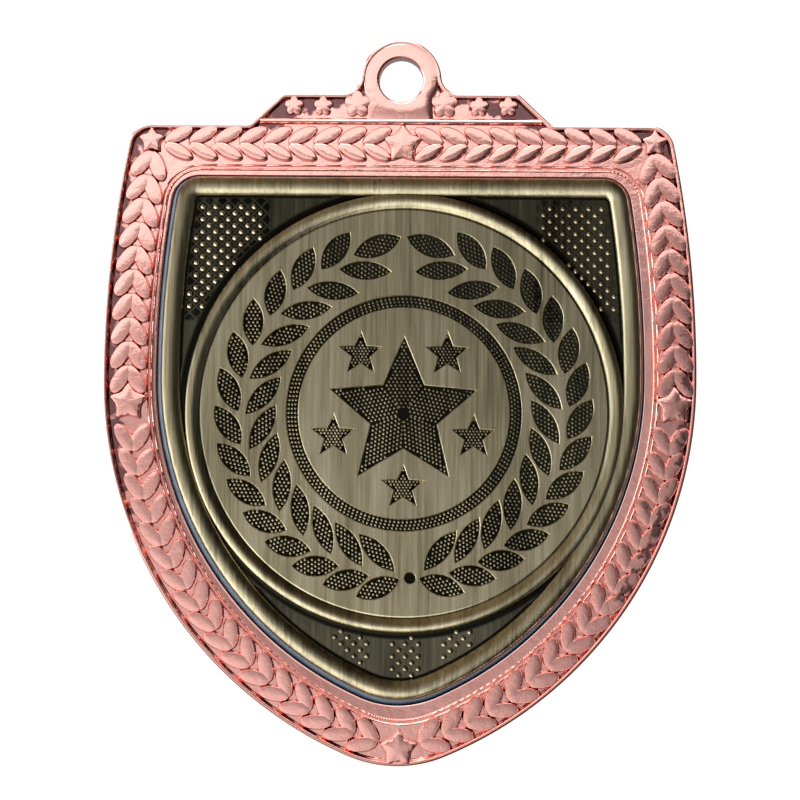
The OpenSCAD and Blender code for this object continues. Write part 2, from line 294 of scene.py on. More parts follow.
class Finish:
    # a node tree under construction
    def __init__(self, tree):
        self.tree = tree
        self.tree.nodes.clear()

    def node(self, kind, settings=None, inputs=None, output=0):
        made = self.tree.nodes.new(kind)
        for key, value in (settings or {}).items():
            if key == "stops":
                ramp = made.color_ramp
                while len(ramp.elements) < len(value):
                    ramp.elements.new(1)
                for element, (position, colour) in zip(ramp.elements, value):
                    element.position = position
                    element.color = (*colour, 1)
            else:
                setattr(made, key, value)
        for key, value in (inputs or {}).items():
            if isinstance(value, Signal):
                self.tree.links.new(value.socket, made.inputs[key])
            else:
                made.inputs[key].default_value = value
        return Signal(self, made.outputs[output]) if made.outputs else made

    def noise(self, where, scale, detail=2, roughness=0.5, distortion=0):
        inputs = {"Vector": where, "Scale": scale, "Detail": detail}
        inputs.update({"Roughness": roughness, "Distortion": distortion})
        return self.node("ShaderNodeTexNoise", None, inputs)

    def stretched(self, where, scale, turn=0):
        inputs = {"Vector": where, "Scale": scale, "Rotation": (0, turn, 0)}
        return self.node("ShaderNodeMapping", None, inputs)

    def bump(self, strength, distance, height):
        inputs = {"Strength": strength, "Distance": distance, "Height": height}
        return self.node("ShaderNodeBump", None, inputs)

    def vertexValue(self, name):
        return self.node("ShaderNodeAttribute", {"attribute_name": name}, None, 2)

    def mix(self, amount, first, second):
        settings = {"data_type": "RGBA"}
        inputs = {"Factor": amount}
        mixed = self.node("ShaderNodeMix", settings, inputs, 2)
        for index, value in ((6, first), (7, second)):
            if isinstance(value, Signal):
                self.tree.links.new(value.socket, mixed.socket.node.inputs[index])
            else:
                mixed.socket.node.inputs[index].default_value = (*value, 1)
        return mixed


def newMaterial(name, fixed):
    material = bpy.data.materials.new(name)
    material.use_nodes = True
    finish = Finish(material.node_tree)
    shader = finish.node("ShaderNodeBsdfPrincipled", None, fixed)
    finish.node("ShaderNodeOutputMaterial", None, {"Surface": shader})
    where = finish.node("ShaderNodeTexCoord", None, None, 3)
    return material, finish, shader.socket.node, where


def feed(finish, shader, **signals):
    for key, signal in signals.items():
        finish.tree.links.new(signal.socket, shader.inputs[key.replace("_", " ")])


copperLook = {
    "bright": (0.94, 0.50, 0.44),
    "deep": (0.89, 0.43, 0.37),
    "tarnishAndShade": (0.045, 0.02, 0.032),
    "roughness": 0.12,
    "clouds": 220,  # per metre
    "ripple": 900,
    "grain": 9000,
}


def copperPlating():
    look = copperLook
    material, finish, shader, where = newMaterial("copperPlating", {"Metallic": 1})
    clouds = finish.noise(where, look["clouds"], 3)
    ripple = finish.noise(where, look["ripple"], 2, 0.5, 0.4)
    grain = finish.noise(where, look["grain"], 2)
    recess = finish.vertexValue("recess")
    plating = finish.mix(clouds, look["deep"], look["bright"])
    # the recess value darkens the plating almost to black, in patches: partly tarnish, partly
    # painted shade in the hole and in the creases at the feet of the lip, the leaves, the stars and
    # the blossoms
    stainAndShade = (recess + 1.1 * (ripple - 0.5)).between(0.72, 0.9)
    stainedAndShaded = finish.mix(0.85 * stainAndShade, plating, look["tarnishAndShade"])
    height = ripple * 0.7 + grain * 0.16
    bump = finish.bump(0.45, 0.00006, height)
    roughness = look["roughness"] + 0.06 * (clouds - 0.5) + 0.10 * (grain - 0.5) + 0.12 * stainAndShade
    feed(finish, shader, Base_Color=stainedAndShaded, Roughness=roughness, Normal=bump)
    return material


brassLook = {
    "black": (0.012, 0.011, 0.008),
    "floor": (0.115, 0.108, 0.072),
    "brushed": (0.46, 0.405, 0.25),
    "cream": (0.80, 0.74, 0.54),
    "roughness": 0.34,
    "columns": 260,  # per metre across the brushing
    "streaks": 2600,
    "hairs": 8000,
}


def dottedPanels(across, up):
    # 1 inside the panels of dots in the two top corners
    side = across.maths("ABSOLUTE", across)
    corner = side.between(pips["topX"] - 0.9, pips["topX"] - 0.4)
    corner = corner * up.between(pips["topLow"] - 1, pips["topLow"] - 0.5)
    return corner * (1 - 0.6 * across.between(0, 5))  # the right one is duller


def crossHatch(across, up):
    # fine lines that cross between the dots
    stepX, stepY = pips["pitch"]
    lines = 0
    for slant in (1, -1):
        place = across * (1 / stepX) + up * (slant / stepY / 2)
        apart = place.maths("ABSOLUTE", place.maths("FRACT", place) - 0.5)
        lines = lines + (1 - apart.between(0.04, 0.16))
    return lines.maths("MINIMUM", lines, 1)


def antiqueBrass():
    look = brassLook
    material, finish, shader, where = newMaterial("antiqueBrass", {"Metallic": 1})
    columns = finish.noise(finish.stretched(where, (1, 1, 0.16)), look["columns"], 3, 0.6)
    streaks = finish.noise(finish.stretched(where, (1, 1, 0.035)), look["streaks"], 3, 0.6)
    hairs = finish.noise(finish.stretched(where, (1, 1, 0.02)), look["hairs"], 2)
    tone = finish.vertexValue("tone")
    brushing = 0.75 * (streaks - 0.5) + 0.5 * (hairs - 0.5) + 0.85 * (columns - 0.5)
    shiftX, shiftY = medal["insertShift"]
    across = metre * finish.node("ShaderNodeSeparateXYZ", None, {0: where}) - shiftX
    height = finish.node("ShaderNodeSeparateXYZ", None, {0: where}, 2)
    up = metre * height - (medal["discY"] + shiftY)
    dotted = dottedPanels(across, up)
    floor = tone.between(0.17, 0.21) * (1 - tone.between(0.27, 0.31))
    sunk = tone - 0.17 * dotted * floor * (1 - 0.8 * crossHatch(across, up))
    sunk = sunk + 0.07 * floor * (1 - up.between(-22, -18))  # the floor is brighter at the foot
    toneWithBrushing = sunk + brushing * 0.85 * tone.between(0.12, 0.4)
    stops = [(0, look["black"]), (0.1, look["black"]), (0.28, look["floor"])]
    stops += [(0.62, look["brushed"]), (1, look["cream"])]
    colour = finish.node("ShaderNodeValToRGB", {"stops": stops}, {0: toneWithBrushing})
    grooves = streaks * 0.6 + hairs * 0.4
    bump = finish.bump(0.4, 0.00005, grooves)
    roughness = look["roughness"] + 0.2 * (streaks - 0.5) + 0.1 * (hairs - 0.5)
    feed(finish, shader, Base_Color=colour, Roughness=roughness, Normal=bump)
    return material


foamLook = {
    "shade": (0.008, 0.045, 0.09),
    "light": (0.30, 0.39, 0.49),
    "cells": 5200,  # per metre
}


def blueFoam():
    look = foamLook
    material, finish, shader, where = newMaterial("blueFoam", {"Metallic": 0, "IOR": 1.46})
    cells = finish.node("ShaderNodeTexVoronoi", None, {"Vector": where, "Scale": look["cells"]})
    clouds = finish.noise(where, 700, 3)
    rise = finish.vertexValue("rise")
    # painted shade: the foam is dark by the frame's wall and lighter towards the insert, in cloudy
    # patches
    swell = (rise + 0.35 * (clouds - 0.5)).between(0.05, 0.95)
    colour = finish.mix(swell, look["shade"], look["light"])
    bump = finish.bump(0.4, 0.00005, cells)
    roughness = 0.5 + 0.25 * (clouds - 0.5) + 0.2 * (cells - 0.5)
    feed(finish, shader, Base_Color=colour, Roughness=roughness, Normal=bump)
    return material


def setTone(bm, layerName, toneOf, firstVert=0):
    layer = bm.verts.layers.float.get(layerName) or bm.verts.layers.float.new(layerName)
    bm.verts.ensure_lookup_table()
    for vert in bm.verts[firstVert:]:
        vert[layer] = toneOf(vert.co)


def ramp(value, low, high):
    return min(1, max(0, (value - low) / (high - low)))


# the die-cast frame
casting = {
    "backEdge": 0.35,
    "lipOuterR": 0.2,
    "lipCrest": 0.34,  # from the edge to where the lip's crest starts to fall
    "lipFoot": 0.62,
    "landDrop": 0.045,  # how far the land falls towards the opening, below the shoulders
    "edgeR": 0.12,
    "holeRound": 0.26,
    "bandShift": 0.22,  # the die's rows sit a little to the right of the outline
    "ridgeShift": 0.32,
    "openingShift": 0.08,
    "ridgeGap": 0.38,
    "ridgeW": 0.24,
    "ridgeH": 0.22,
    "beadDepth": 0.05,
    "barW": 0.66,
    "barH": 0.6,
    "plateH": 0.9,  # of the loop's domed plate, which stands on a ledge in the hole
    "plateSag": 0.1,
    # the dark blotches on the right: how far in from the edge they start and are fullest
    "blotches": {"right": 12, "low": -50, "high": -24, "start": 2.5, "full": 1.5, "stop": 0.6},
}


def frameBody(bm):
    size = casting
    layer = bm.verts.layers.float.new("recess")
    outline = crownArcs() + shieldArcs(medal["outer"])
    back = size["backEdge"]
    front = size["lipOuterR"]
    profile = [(back * (1 - sin(a)), backZ + back * (1 - cos(a))) for a in quarters(5)]
    profile += [(front * (1 - cos(a)), crestZ - front * (1 - sin(a))) for a in quarters(4)]
    steps = 6
    for step in range(1, steps + 1):
        share = step / steps
        inset = size["lipCrest"] + (size["lipFoot"] - size["lipCrest"]) * share
        profile.append((inset, crestZ - (crestZ - fieldZ) * (0.5 - 0.5 * cos(pi * share))))
    backLoop, fieldLoop = sweep(bm, lambda inset: ring(outline, inset), profile)
    lipFoot = [vert for vert in bm.verts if fieldZ - 0.01 < vert.co.z < fieldZ + 0.3]
    for vert in lipFoot:  # the plating is darkened along the lip's foot, partly tarnish and partly painted shade in the crease, less so low down
        vert[layer] = 0.4 + 0.6 * ramp(vert.co.y, -52, -38)

    recess = shieldArcs(medal["recess"])
    rim = [(0, backZ), (0.06, backZ + 0.02), (0.2, backZ + 0.2), (0.3, backZ + 0.25)]
    recessLoop, recessFloor = sweep(bm, lambda inset: ring(recess, inset), rim)
    hole = medal["holeR"]
    mouth = size["holeRound"]
    ledge = crestZ - size["plateH"]
    bore = [(hole + mouth * (1 - sin(a)), backZ + mouth * (1 - cos(a))) for a in quarters(5)]
    bore += [(hole, ledge), (hole + 0.5, ledge + 0.01), (hole + 0.5, fieldZ)]
    boreBack, boreFront = sweep(bm, lambda radius: circle(radius, 72), bore)
    fillFlat(bm, backLoop, recessLoop, boreBack)
    fillFlat(bm, recessFloor)

    # the land slopes down a little from the ridges to the opening
    opening = shieldArcs(medal["opening"])
    ridges = shieldArcs(medal["ridges"])
    shift = (size["openingShift"], 0)
    landStart = drawLoop(bm, ring(ridges, 0, (size["ridgeShift"], 0)), fieldZ)
    edge = size["edgeR"]
    landLoop = landStart
    for a in [-0.6] + quarters(4):  # the first loop keeps the land flat up to its rounded edge
        points = ring(opening, -edge * (1 - sin(a)), shift)
        levels = [fieldZ - size["landDrop"] * ramp(y, medal["topY"] - 6, medal["topY"] - 20)
                  - edge * (1 - cos(max(0, a))) for x, y in points]
        landLoop = growLoop(bm, landLoop, points, levels)
    trayLoop = growLoop(bm, landLoop, ring(opening, 0, shift), trayZ)
    fillFlat(bm, trayLoop)
    fillFlat(bm, fieldLoop, landStart, boreFront)


def loopPlate(bm):
    # the loop's domed face runs down to the bar as one arch-shaped plate round the hole
    steps = 72
    hole = medal["holeR"]
    mouth = casting["holeRound"]
    plateR = medal["loopR"] - 0.3
    footY = medal["topY"] + 0.08
    low = crestZ - casting["plateH"]

    def arch(point):
        # the lower half of the circle is stretched down to the bar
        x, y = point
        return (x, y) if y > -plateR * 0.5 else (x * 1.05, footY + (y + plateR) * 0.1)

    inner = circle(hole, steps)
    outer = [arch(point) for point in circle(plateR, steps)]

    def blend(share, push=0):
        # a share of the way from the hole to the plate's edge, and push millimetres more
        mixed = []
        for (ax, ay), (bx, by) in zip(inner, outer):
            part = share + push / hypot(bx - ax, by - ay)
            mixed.append((ax + (bx - ax) * part, ay + (by - ay) * part))
        return mixed

    loop = start = drawLoop(bm, inner, low)
    for a in quarters(5):
        loop = growLoop(bm, loop, blend(0, mouth * (1 - cos(a))), crestZ - mouth * (1 - sin(a)))
    for share, drop in ((0.5, 0), (0.8, 0.02), (0.93, 0.05), (0.98, 0.1), (1, 0.2)):
        points = blend(share)
        sag = casting["plateSag"] * share**2  # below the hole the face sinks towards the bar
        levels = [crestZ - drop - sag * ramp(-y, 0.8, 3.2) for x, y in points]
        loop = growLoop(bm, loop, points, levels)
    loop = growLoop(bm, loop, blend(1), low)
    joinLoops(bm, loop, start)


def ridgeRings(bm):
    # two fine ridges follow the shield inside the leaves; the inner one is milled into beads
    arcs = shieldArcs(medal["ridges"])
    finer = [(*arc[:5], arc[5] * 4) for arc in arcs]
    half = casting["ridgeW"] / 2
    shift = (casting["ridgeShift"], 0)
    for side, beads in ((-1, 0), (1, casting["beadDepth"])):
        middle = side * casting["ridgeGap"] / 2
        profile = [(-half, fieldZ - 0.1)]
        for step in range(7):
            a = pi * step / 6
            profile.append((-half * cos(a), fieldZ + casting["ridgeH"] * sin(a)))
        profile.append((half, fieldZ - 0.1))
        start = drawLoop(bm, ring(finer, middle + profile[0][0], shift), profile[0][1])
        loop = start
        for inset, z in profile[1:]:
            points = ring(finer, middle + inset, shift)
            cut = beads * ramp(z, fieldZ + 0.05, fieldZ + casting["ridgeH"])
            wave = [z - cut * (index % 4 < 2) for index in range(len(points))]
            loop = growLoop(bm, loop, points, wave)
        joinLoops(bm, loop, start)


def barUnderPediment(bm):
    # the shield's top lip carried on under the pediment
    half = medal["pedimentFootHalf"] - 0.95
    section = bmesh.ops.create_circle(bm, cap_ends=True, segments=20, radius=1)["verts"]
    tall = casting["barH"]
    turn = Matrix.Rotation(radians(90), 4, "Y") @ Matrix.Diagonal((tall, casting["barW"] / 2, 1, 1))
    bmesh.ops.transform(bm, matrix=turn, verts=section)
    bmesh.ops.translate(bm, verts=section, vec=(-half, medal["topY"] + 0.3, crestZ - tall))
    face = section[0].link_faces[0]
    made = bmesh.ops.extrude_face_region(bm, geom=[face])["geom"]
    bmesh.ops.translate(bm, verts=newVerts(made), vec=(2 * half, 0, 0))
    for vert in section:
        for item in vert.link_faces:
            item.smooth = len(item.verts) == 4


leaf = {
    # dome: of an outer and of an inner leaf
    "side": {"length": 3.16, "width": 1.58, "blunt": 2.1, "tilt": 31, "offset": 0.75,
             "dome": (0.02, 0.022)},
    "top": {"length": 3.12, "width": 1.42, "blunt": 1.9, "tilt": 27, "offset": 0.8,
            "dome": (0.02, 0.06)},
    "draft": 0.13,
    "upright": 13.5,  # the lower rows stand upright until the band leans by this much
    "pitch": 2.39,
    "topPairs": 9,
    "sidePairs": 10,
    "lowerPairs": 17,
    "sideInset": 2.25,
    "topDrop": 1.9,
}


def reliefProfile(draft, dome, half):
    # (inset, level) steps of a raised shape with sloping, rounded sides and a slightly domed top;
    # half is the distance from its edge to its middle line
    rise = crestZ - fieldZ
    shoulder = [(0.2, 0.58), (0.33, 0.40), (0.5, 0.22), (0.68, 0.10), (0.86, 0.03), (1, 0)]
    profile = [(-0.06, fieldZ - 0.12), (-0.03, fieldZ), (draft * 0.08, fieldZ + rise * 0.2)]
    profile += [(draft * share, crestZ - rise * drop) for share, drop in shoulder]
    return profile + [(draft + (half - draft) * share, crestZ + dome * (1 - (1 - share) ** 2))
                      for share in (0.2, 0.45, 0.7)]


def capTop(bm, loop, rise):
    face = bm.faces.new(loop)
    face.smooth = True
    made = bmesh.ops.poke(bm, faces=[face])
    for vert in made["verts"]:
        vert.co.z += rise
    for item in made["faces"]:
        item.smooth = True


def reliefMesh(name, outline, draft, dome, half):
    bm = bmesh.new()
    start, loop = sweep(bm, outline, reliefProfile(draft, dome, half))
    bm.faces.new(start)
    capTop(bm, loop, dome * 0.09)
    # painted shade at the feet of the raised shapes, made patchy in the plating's shader
    setTone(bm, "recess", lambda co: 0.85 * (co.z < fieldZ + 0.2))
    return asMesh(bm, name)


def bluntOval(length, width, blunt, steps):
    def outline(inset):
        points = []
        for a in clockwise(steps):
            x = abs(cos(a)) ** (2 / blunt) * (length / 2 - inset)
            y = abs(sin(a)) ** (2 / blunt) * (width / 2 - inset)
            points.append((x if cos(a) > 0 else -x, y if sin(a) > 0 else -y))
        return points
    return outline


def starPoints(centre, outer, inner):
    points = []
    for index in range(10):
        a = pi / 2 - index * pi / 5
        reach = inner if index % 2 else outer
        points.append((centre[0] + reach * cos(a), centre[1] + reach * sin(a)))
    return points


def starOutline(outer, inner, soft):
    # the points are softened; moving the sides in is the same as shrinking the star
    edge = sqrt(outer**2 + inner**2 - 2 * outer * inner * cos(pi / 5))
    apothem = outer * inner * sin(pi / 5) / edge
    corners = [Vector(point) for point in starPoints((0, 0), outer, inner)]
    points = []
    for index, here in enumerate(corners):
        before = here.lerp(corners[index - 1], soft)
        after = here.lerp(corners[(index + 1) % 10], soft)
        middle = (before + after) / 4 + here / 2
        points += [before, (before + here) / 4 + middle / 2, middle]
        points += [(after + here) / 4 + middle / 2, after]

    def outline(inset):
        shrink = 1 - inset / apothem
        return [(point.x * shrink, point.y * shrink) for point in points]
    return outline


def blossomOutline(radius, petals, steps):
    def outline(inset):
        points = []
        for a in clockwise(steps):
            reach = radius * (0.66 + 0.34 * abs(cos(petals / 2 * (a - pi / 2))) ** 0.75)
            reach *= 1 - inset / radius / 0.8
            points.append((reach * cos(a), reach * sin(a)))
        return points
    return outline


def onBand(part, a):
    # a point on the leaves' middle line, beside the shield's upper ("side") or "lower" arc
    outer = medal["outer"]
    band = outer[part] - leaf["sideInset"]
    return band * cos(a) + outer["half"] - outer[part], band * sin(a) + medal["wideY"]


def bandPlaces():
    # the middle of each pair of leaves on the right half, with the way that its tips point
    places = []
    for index in range(1, leaf["topPairs"] + 1):
        places.append((index * leaf["pitch"] + 0.1, medal["topY"] - leaf["topDrop"], 180))
    outer = medal["outer"]
    band = outer["side"] - leaf["sideInset"]
    last = asin((medal["topY"] - medal["wideY"] - 4) / band)
    for index in range(leaf["sidePairs"]):
        a = last * (1 - index / (leaf["sidePairs"] - 1))
        places.append((*onBand("side", a), a * 180 / pi - 90))
    band = outer["lower"] - leaf["sideInset"]
    step = leaf["pitch"] / band
    starAngle = asin(stars["sideDrop"] / band)
    tipAngle = acos((outer["lower"] - outer["half"]) / band)
    first = (starAngle + tipAngle - step * (leaf["lowerPairs"] - 1)) / 2
    for index in range(leaf["lowerPairs"]):
        a = -(first + step * index)
        lowest = tipAngle * 180 / pi
        lean = max(0, -a * 180 / pi - leaf["upright"]) * lowest / (lowest - leaf["upright"])
        places.append((*onBand("lower", a), 90 - lean))
    return places


def borderLeaves(bm):
    shift = Matrix.Translation((casting["bandShift"], 0, 0))
    pairs = bandPlaces()
    rows = {"top": pairs[:leaf["topPairs"]], "side": pairs[leaf["topPairs"]:]}
    for row, places in rows.items():
        shape = leaf[row]
        outline = bluntOval(shape["length"], shape["width"], shape["blunt"], 30)
        for inner in (False, True):
            dome = shape["dome"][inner]
            mesh = reliefMesh("leaf", outline, leaf["draft"], dome, shape["width"] / 2)
            spots = []
            for x, y, heading in places:
                # the inner leaf of a pair lies on the left of its heading, or on the right if that
                # points down, and a hair lower, so that their tops never coincide
                side = 1 if (heading > 0) == inner else -1
                local = Matrix.Translation((0, side * shape["offset"], -0.012 * inner))
                local = local @ Matrix.Rotation(radians(side * shape["tilt"]), 4, "Z")
                for mirrored in (False, True):
                    spots.append(shift @ placed(x, y, 0, heading, mirrored) @ local)
            stamp(bm, mesh, spots)


stars = {
    "sideDrop": 2.2,
    "radii": {"top": 2.08, "side": 2.08, "bottom": 2.05, "corner": 1.45},
    "waist": 0.6,  # inner radius as a share of the outer
    "cornerX": 24.2,
    "cornerDrop": 1.65,
    "soft": 0.3,
    "blossoms": [(10.3, 1.75, 0.98), (7.5, 1.75, 0.98), (4.2, 1.95, 1.34)],  # x, rise, radius
}


def borderStars(bm):
    size = stars["radii"]
    outer = medal["outer"]
    band = outer["lower"] - leaf["sideInset"]
    sideX, sideY = onBand("lower", -asin(stars["sideDrop"] / band))
    lowY = medal["wideY"] - sqrt(band**2 - (outer["lower"] - outer["half"]) ** 2)
    cornerY = medal["topY"] - stars["cornerDrop"]
    spots = [("top", 0, medal["topY"] - leaf["topDrop"]), ("bottom", 0, lowY)]
    for side in (1, -1):
        spots.append(("side", side * sideX, sideY))
        spots.append(("corner", side * stars["cornerX"], cornerY))
    for name, x, y in spots:
        outline = starOutline(size[name], size[name] * stars["waist"], stars["soft"])
        mesh = reliefMesh("star", outline, 0.13, 0.04, size[name] / 2)
        stamp(bm, mesh, [placed(x + casting["bandShift"], y, 0.012)])
    for x, rise, radius in stars["blossoms"]:
        mesh = reliefMesh("blossom", blossomOutline(radius, 5, 50), 0.1, 0.04, radius * 0.6)
        y = medal["topY"] + rise
        stamp(bm, mesh, [placed(x, y, 0.01), placed(x, y, 0.01, 0, True)])


def shadeHoleAndBlotchFrame(bm):
    # painted shade darkens the hole's bore, and the right-hand leaves' outer ends get dark blotches
    layer = bm.verts.layers.float["recess"]
    outer = medal["outer"]
    area = casting["blotches"]
    for vert in bm.verts:
        x, y, z = vert.co
        depth = outer["lower"] - hypot(x + outer["lower"] - outer["half"], y - medal["wideY"])
        # painted shade inside the hole
        if hypot(x, y) < medal["holeR"] + 0.02 and backZ + 0.2 < z < crestZ - 0.2:
            vert[layer] = 1
        inside = x > area["right"] and area["low"] < y < area["high"] and z > fieldZ + 0.3
        if inside and area["stop"] < depth < area["start"]:
            vert[layer] = 0.78 * ramp(depth, area["start"], area["full"])


def makeFrame(material):
    bm = bmesh.new()
    frameBody(bm)
    loopPlate(bm)
    ridgeRings(bm)
    barUnderPediment(bm)
    borderLeaves(bm)
    borderStars(bm)
    shadeHoleAndBlotchFrame(bm)
    return finishPiece("frame_casting", bm, material, "frame", 38)


# the foam pad
pad = {"wallGap": 0.04, "insertGap": 0.03, "swell": 0.7}


def makePad(material):
    # the foam swells up round the insert, inside the gap that the insert leaves
    opening = shieldArcs(medal["opening"])
    shift = (casting["openingShift"], 0)
    wall = ring(opening, pad["wallGap"], shift)
    edge = ring(opening, medal["insertGap"] - pad["insertGap"], medal["insertShift"])
    top = padTopZ + pad["swell"]

    def across(share):
        return [(ax + (bx - ax) * share, ay + (by - ay) * share)
                for (ax, ay), (bx, by) in zip(wall, edge)]

    bm = bmesh.new()
    profile = [(0, trayZ), (0, top - 0.3), (0.1, top - 0.13), (0.28, top - 0.04), (0.5, top),
               (0.75, top + 0.01), (0.92, top - 0.03), (1, top - 0.09), (1, padTopZ)]
    start, last = sweep(bm, across, profile)
    fillFlat(bm, start)
    fillFlat(bm, last)
    # rise: each loop's share of the way across, from the frame's wall to the insert, which the
    # foam's painted shade follows
    layer = bm.verts.layers.float.new("rise")
    bm.verts.ensure_lookup_table()
    for index, vert in enumerate(bm.verts):
        vert[layer] = profile[min(index // len(wall), len(profile) - 1)][0]
    piece = finishPiece("foam_pad", bm, material, "adhesive_pad", 60)
    return piece


# the cast insert
plate = {
    "rimW": 1.85,
    "rimTop": 1.5,
    "rimCrest": 0.78,  # from the rim's edge to its highest line
    "rimRound": 0.42,  # how far down its outer side the rounding starts
    "faceZ": 1.25,
    "pocketZ": 0.95,
    "ring": (10.25, 11.3),
    "centreStar": (7.3, 3.3),
    "smallStar": (2.0, 0.85),
    "smallStarOut": 7.1,
    "dot": (0.72, -15.85, 0.5),
    "discShift": 0.3,  # the medallion sits to the right of the plate's middle
    "starRise": 0.26,
}

wreath = {
    # span: first and last leaf's angle on the right and on the left side
    # reach: of a leaf's stalk end, its tip, and the topmost leaf's tip
    # lead: how many degrees a tip is ahead of its stalk end, and the topmost leaf's
    "outer": {"count": 15, "span": {1: (-83.7, 73), -1: (-88.8, 72.5)},
              "reach": (16, 18.15, 16.95), "lead": (12.6, 16), "width": 1.9},
    "inner": {"count": 13, "span": {1: (-81.8, 66.9), -1: (-86.8, 66)},
              "reach": (15.15, 12.4, 13.7), "lead": (16.2, 18.2), "width": 1.67},
    "bend": 11,  # the leaves stand closer together towards the foot
}

bumps = {"radius": 0.18, "height": 0.15, "along": 0.34, "across": 0.41, "margin": 0.14}

pips = {
    "radius": 0.29, "height": 0.24, "pitch": (1.24, 0.6), "margin": 0.45,
    "lowPanels": [(-6.3, -2.7), (-0.8, 2.1), (4.2, 7.4)], "topX": 13.4, "topLow": 9.6,
}


# the brass's tones, from 0 black to 1 cream; the rim's foot line is painted shade, the bright pips
# a painted highlight and the pocket walls' edge partly one
tones = {
    "rim": 0.6, "rimFootShade": 0.03, "floor": 0.24, "side": 0.4,
    "bead": 0.64, "groove": 0.2, "face": 0.66, "faceEdge": 0.74, "pocket": 0.11,
    "bump": 0.46, "bumpFoot": 0.06, "highlightedPip": 0.85, "pip": 0.58, "pipFoot": 0.05,
}


def domeMesh(name, radius, height, sides, rings):
    # a low round bump, closed underneath
    bm = bmesh.new()
    verts = bmesh.ops.create_circle(bm, cap_ends=True, segments=sides, radius=radius)["verts"]
    face = verts[0].link_faces[0]
    level = -0.04
    bmesh.ops.translate(bm, verts=verts, vec=(0, 0, level))
    reach = radius
    for a in quarters(rings)[:-1]:
        made = bmesh.ops.extrude_face_region(bm, geom=[face])["geom"]
        face = newFaces(made)[0]
        shrink = radius * cos(a) / reach
        bmesh.ops.scale(bm, vec=(shrink, shrink, 1), verts=newVerts(made))
        bmesh.ops.translate(bm, vec=(0, 0, height * sin(a) - level), verts=newVerts(made))
        reach = radius * cos(a)
        level = height * sin(a)
    top = bmesh.ops.poke(bm, faces=[face])
    for vert in top["verts"]:
        vert.co.z = height
    for item in bm.faces:
        item.smooth = True
    return asMesh(bm, name)


def insertBody(bm):
    arcs = shieldArcs(medal["opening"])
    gap = medal["insertGap"]
    width = plate["rimW"]
    high = plate["rimTop"]
    crest = plate["rimCrest"]
    rolled = plate["rimRound"]
    profile = [(0.12, padTopZ), (0.03, padTopZ + 0.04), (0, padTopZ + 0.14), (0, high - rolled)]
    for a in quarters(8, 1):  # rolled over from the outer wall to the crest
        profile.append((crest * (1 - cos(a)), high - rolled * (1 - sin(a))))
    for a in quarters(8, 1):  # and down to the pocket
        profile.append((crest + (width - crest) * sin(a), plateZ + (high - plateZ) * cos(a)))
    # these loops carry the painted shade line at the rim's foot out onto the floor
    profile += [(width + 0.07, plateZ - 0.004), (width + 0.24, plateZ - 0.006)]
    low, floor = sweep(bm, lambda inset: ring(arcs, gap + inset, medal["insertShift"]), profile)
    fillFlat(bm, low)
    fillFlat(bm, floor)


def turned(x, y, heading, middle):
    across = x * cos(heading) - y * sin(heading)
    up = x * sin(heading) + y * cos(heading)
    return middle[0] + across, middle[1] + up


def lens(start, end, width, steps=9):
    # pointed leaf between two points, as two equal arcs: gives its outline and its measures
    length = hypot(end[0] - start[0], end[1] - start[1])
    radius = (length**2 + width**2) / (4 * width)
    reach = asin(length / 2 / radius)
    heading = atan2(end[1] - start[1], end[0] - start[0])
    middle = ((start[0] + end[0]) / 2, (start[1] + end[1]) / 2)
    flat = []
    for side in (1, -1):
        for step in range(steps):
            a = -reach + 2 * reach * step / steps
            x = radius * sin(a)
            y = radius * cos(a) - (radius - width / 2)
            flat.append((side * x, side * y))
    return [turned(x, y, heading, middle) for x, y in flat], middle, heading, length, width


def polar(reach, degrees):
    return (reach * cos(radians(degrees)), reach * sin(radians(degrees)))


def wreathLeaves():
    leaves = []
    for row in (wreath["outer"], wreath["inner"]):
        near, far, topFar = row["reach"]
        lead, topLead = row["lead"]
        for index in range(row["count"]):
            share = index / (row["count"] - 1)
            top = index == row["count"] - 1
            for side, (first, last) in row["span"].items():
                a = first + (last - first) * share - wreath["bend"] * share * (1 - share)
                startX, startY = polar(near, a)
                endX, endY = polar(topFar if top else far, a + (topLead if top else lead))
                leaves.append(lens((side * startX, startY), (side * endX, endY), row["width"]))
    return leaves


def leafBumps(middle, heading, length, width):
    radius = (length**2 + width**2) / (4 * width)
    spots = []
    rows = ceil(length / 2 / bumps["along"])
    columns = ceil(width / 2 / bumps["across"])
    for row in range(-rows, rows + 1):
        u = row * bumps["along"]
        if abs(u) > length / 2 - 0.25:
            continue
        half = sqrt(radius**2 - u * u) - (radius - width / 2) - bumps["margin"]
        for column in range(-columns, columns + 1):
            v = (column + 0.5 * (row % 2)) * bumps["across"]
            if abs(v) <= half:
                spots.append((*turned(u, v, heading, middle), plate["pocketZ"]))
    return spots


def starReach(outer, inner, angle):
    # how far a star's side is from its middle in one direction
    a = abs((angle + pi / 5) % (2 * pi / 5) - pi / 5)
    tip = Vector((outer, 0))
    notch = Vector((inner * cos(pi / 5), inner * sin(pi / 5)))
    side = notch - tip
    return (tip.x * side.y - tip.y * side.x) / (cos(a) * side.y - sin(a) * side.x)


def starBumps(outer, inner, rise):
    spots = []
    for arm in range(5):
        heading = pi / 2 + arm * 2 * pi / 5
        for row in range(1, ceil(outer / bumps["along"])):
            u = row * bumps["along"]
            for column in range(-9, 10):
                v = (column + 0.5 * (row % 2)) * bumps["across"]
                reach = hypot(u, v)
                edge = starReach(outer, inner, atan2(v, u))
                if edge - reach > bumps["margin"] * 1.6 and abs(v) < u * tan(pi / 5) - 0.08:
                    z = plate["pocketZ"] + rise * (1 - reach / edge)
                    spots.append((*turned(u, v, heading, (0, 0)), z))
    return spots


